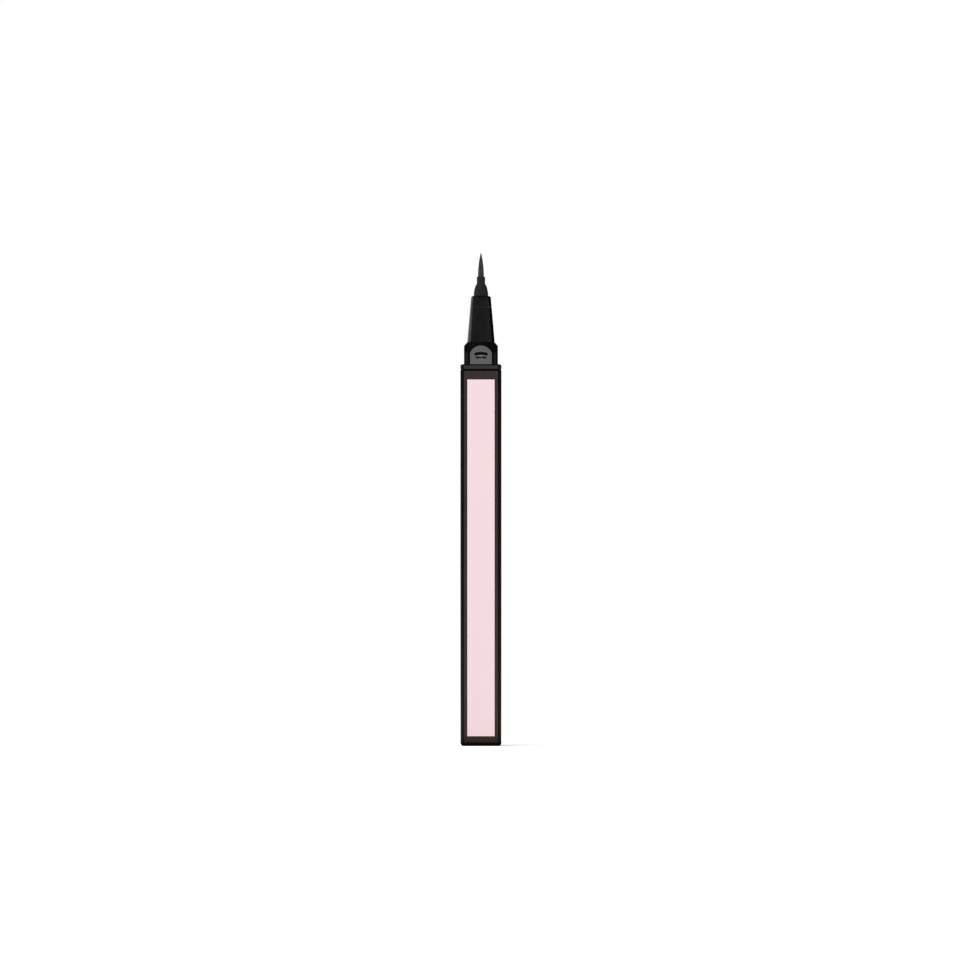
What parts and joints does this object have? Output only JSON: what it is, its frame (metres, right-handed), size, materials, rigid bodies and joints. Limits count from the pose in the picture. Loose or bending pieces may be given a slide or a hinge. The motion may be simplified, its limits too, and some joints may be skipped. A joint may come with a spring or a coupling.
{
  "type": "liquid eyeliner pen",
  "caption": "Slim square-barrelled liquid eyeliner pen, uncapped, with a fine brush fed from an ink tank through a finned collector; a loose ball in the tank mixes the ink.",
  "frame": {"origin": "centre of the flat foot under the tail plug, on the pen's axis", "axes": "+Z along the pen's axis from the tail to the brush's tip, -Y out of the labelled front, +X to the right when the label faces the viewer"},
  "size_m": [0.01, 0.01, 0.1202],
  "materials": {
    "case_plastic": "satin brown-black moulding with a fine spark texture",
    "label_film": "pale pink printed film, half gloss, left blank",
    "grip_plastic": "polished black moulding",
    "nib_plastic": "satin black moulding",
    "tank_plastic": "natural milky polypropylene",
    "collector_plastic": "matt black moulding, treated to take ink",
    "seal_rubber": "soft black rubber",
    "sponge_foam": "open-cell foam",
    "core_fibre": "bonded fibre rod soaked with ink",
    "brush_fibre": "fine tapered nylon filaments wet with ink",
    "ball_steel": "polished steel"
  },
  "bodies": {
    "pen": {"barrel": "case_plastic", "tail_plug": "case_plastic", "front_label": "label_film", "grip_section": "grip_plastic", "nose_ring": "grip_plastic", "nib_holder": "nib_plastic", "brush_ferrule": "nib_plastic", "ink_tank": "tank_plastic", "collector": "collector_plastic", "brush_retainer": "collector_plastic", "collector_seal": "seal_rubber", "overflow_sponge": "sponge_foam", "relay_core": "core_fibre", "brush_tip": "brush_fibre"},
    "ball": {"mixing_ball": "ball_steel"}
  },
  "joints": [
    {"name": "ball_slide", "type": "slide", "parent": "pen", "child": "ball", "axis": [0, 0, 1], "range_m": [0, 0.061]}
  ]
}
